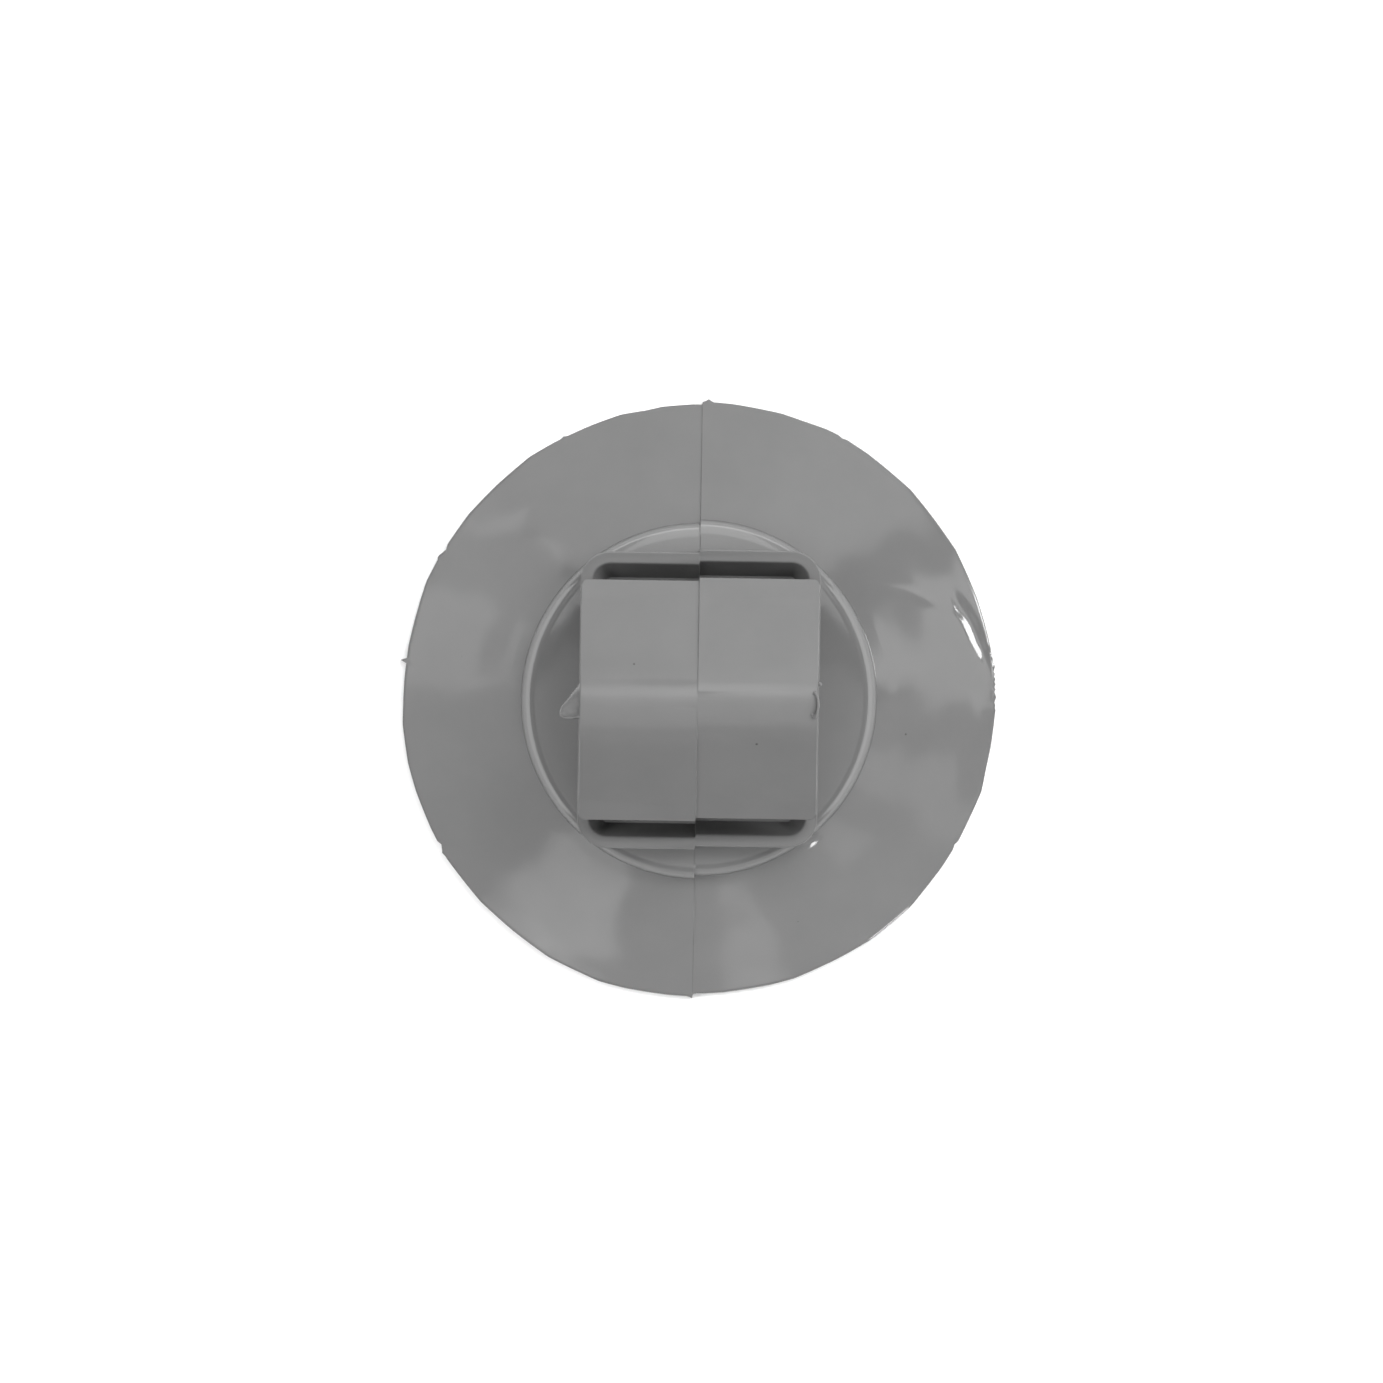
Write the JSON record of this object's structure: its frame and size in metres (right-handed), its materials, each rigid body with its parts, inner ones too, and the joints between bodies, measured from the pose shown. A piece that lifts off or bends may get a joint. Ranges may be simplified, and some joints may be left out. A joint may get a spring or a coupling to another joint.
{
  "type": "suction cup foot",
  "caption": "Small soft suction cup foot with a raised round hub, a thin rounded rectangular collar and a gabled push-in head for a panel slot.",
  "frame": {"origin": "on the cup's axis, in the plane that the sealing lip rests on", "axes": "+Z along the cup's axis, from the wall towards the head; +X along the head's ridge; +Y towards the upper wing"},
  "size_m": [0.04, 0.04, 0.0147],
  "materials": {
    "grey_soft_pvc": "glossy soft plastic, mid grey"
  },
  "bodies": {
    "cup": {"sealing_lip": "grey_soft_pvc", "cup_skirt": "grey_soft_pvc"},
    "hub_and_stem": {"hub_plate": "grey_soft_pvc", "hub_rim": "grey_soft_pvc", "collar": "grey_soft_pvc", "stem_web": "grey_soft_pvc", "head_ridge": "grey_soft_pvc", "gate_stub_left": "grey_soft_pvc", "gate_ring_right": "grey_soft_pvc"},
    "upper_wing": {"upper_wing": "grey_soft_pvc"},
    "lower_wing": {"lower_wing": "grey_soft_pvc"}
  },
  "joints": [
    {"name": "cup_press", "type": "slide", "parent": "cup", "child": "hub_and_stem", "axis": [0, 0, -1], "range_m": [0, 0.0028], "stiffness_N_per_m": 2000, "deforming": ["cup_skirt"]},
    {"name": "upper_wing_flex", "type": "hinge", "parent": "hub_and_stem", "child": "upper_wing", "pos_m": [0, 0.00264, 0.01294], "axis": [-1, 0, 0], "range_deg": [0, 15], "stiffness_Nm_per_rad": 0.13},
    {"name": "lower_wing_flex", "type": "hinge", "parent": "hub_and_stem", "child": "lower_wing", "pos_m": [0, -0.00264, 0.01294], "axis": [1, 0, 0], "range_deg": [0, 15], "stiffness_Nm_per_rad": 0.13}
  ]
}
